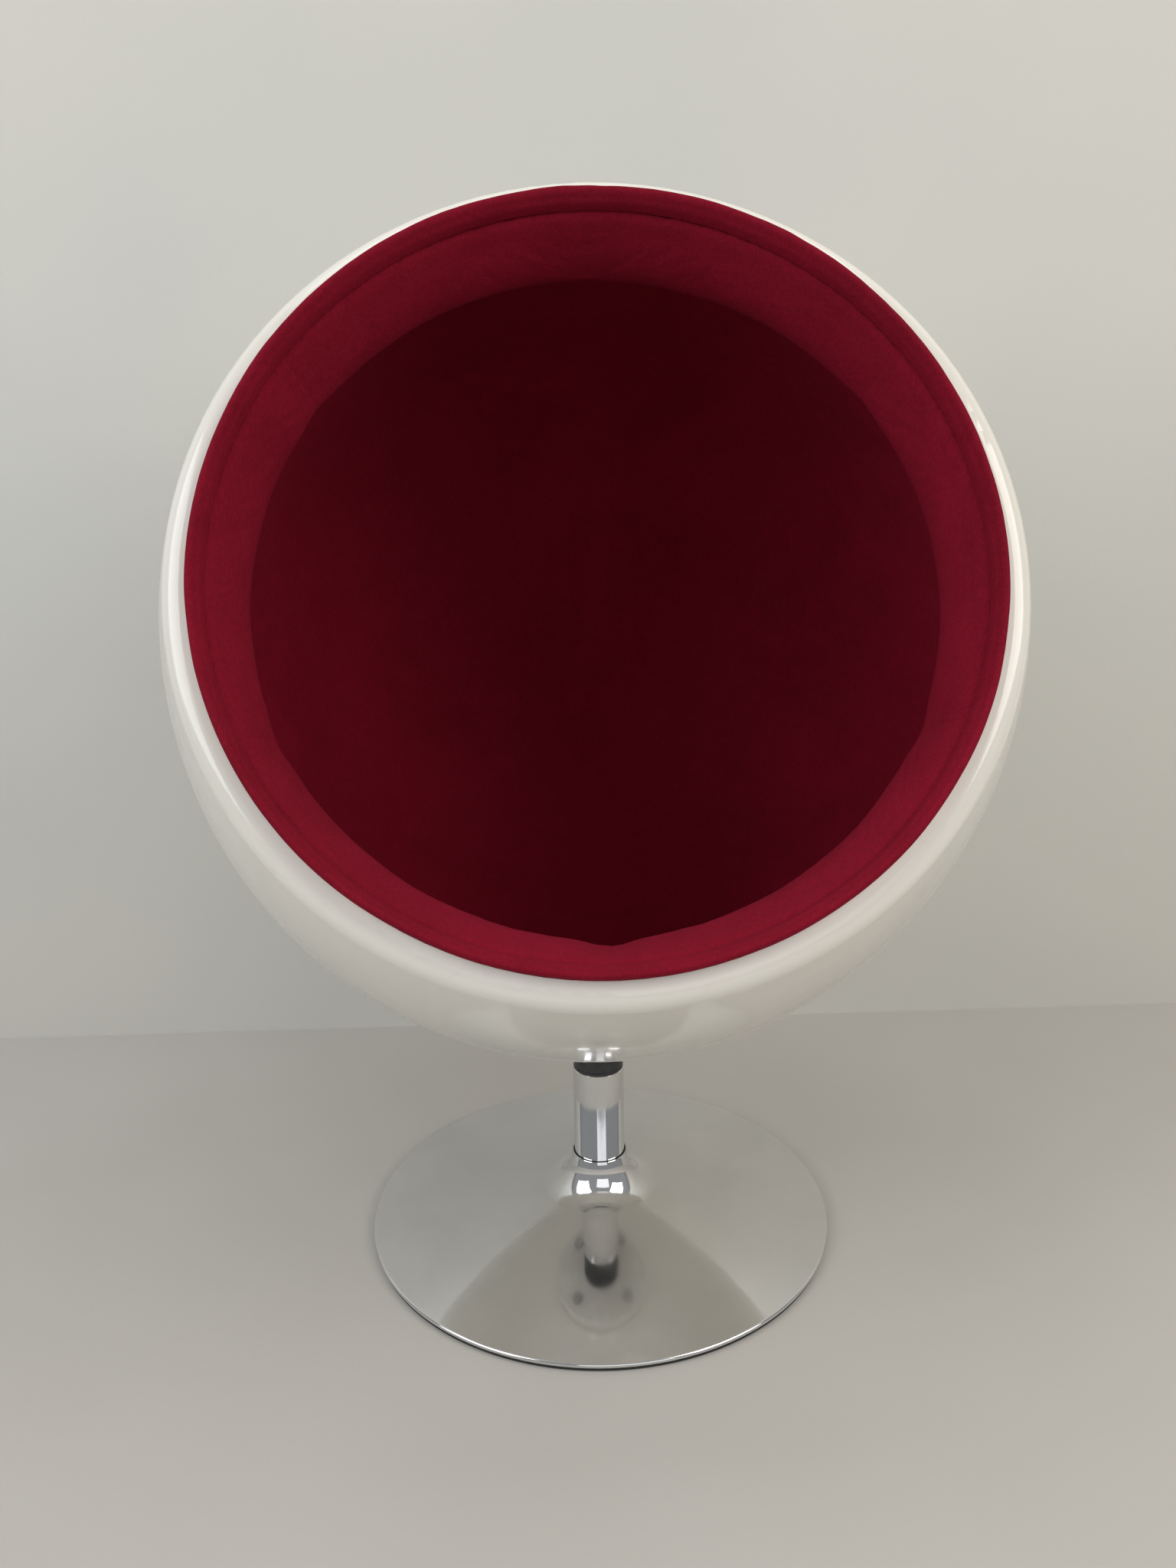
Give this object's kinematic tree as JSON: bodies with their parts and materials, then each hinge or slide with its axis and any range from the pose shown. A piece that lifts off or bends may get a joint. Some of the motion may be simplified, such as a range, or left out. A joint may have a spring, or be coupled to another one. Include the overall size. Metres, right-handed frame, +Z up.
{
  "type": "pod chair",
  "caption": "Round moulded pod seat with a padded red lining, open at the front, that turns on a chromed column with a wide trumpet base.",
  "frame": {"origin": "on the floor under the column's axis", "axes": "+Z up along the swivel axis, the mouth of the pod faces -Y, +X to the right seen from the front"},
  "size_m": [0.86, 0.8396, 1.1493],
  "materials": {
    "chrome": "polished",
    "floor_rubber": "matte",
    "base_felt": "matte",
    "plate_steel": "satin",
    "plate_white": "satin",
    "ballast_iron": "matte",
    "screw_steel": "satin",
    "bearing_steel": "gloss",
    "black_nylon": "satin",
    "white_moulding": "gloss",
    "plywood": "matte",
    "seat_foam": "matte",
    "red_felt": "matte"
  },
  "bodies": {
    "base": {"trumpet_base": "chrome", "floor_ring": "floor_rubber", "base_cover": "base_felt", "base_plate": "plate_steel", "ballast_disc": "ballast_iron", "column_tube": "chrome", "column_flange": "plate_steel", "collar_seal": "floor_rubber", "column_washers": "screw_steel", "column_bolts": "screw_steel", "upper_bush": "black_nylon", "lower_bush": "black_nylon", "bearing_lower_race": "bearing_steel", "bearing_balls": "bearing_steel", "bearing_cage": "bearing_steel"},
    "pod": {"bearing_upper_race": "bearing_steel", "spindle": "bearing_steel", "retaining_ring": "bearing_steel", "dust_cover": "black_nylon", "swivel_plate": "plate_white", "shell_saddle": "white_moulding", "shell": "white_moulding", "backing_plate": "plywood", "shell_washers": "screw_steel", "shell_bolts": "screw_steel", "shell_nuts": "screw_steel", "seat_foam": "seat_foam", "seat_cover": "red_felt", "tack_ring": "plywood", "front_band": "red_felt", "ring_pad_1": "red_felt", "ring_pad_2": "red_felt", "ring_pad_3": "red_felt", "ring_pad_4": "red_felt", "ring_pad_5": "red_felt", "ring_pad_6": "red_felt"}
  },
  "joints": [
    {"name": "swivel", "type": "hinge", "parent": "base", "child": "pod", "pos_m": [0, 0, 0.21], "axis": [0, 0, 1], "continuous": true}
  ]
}
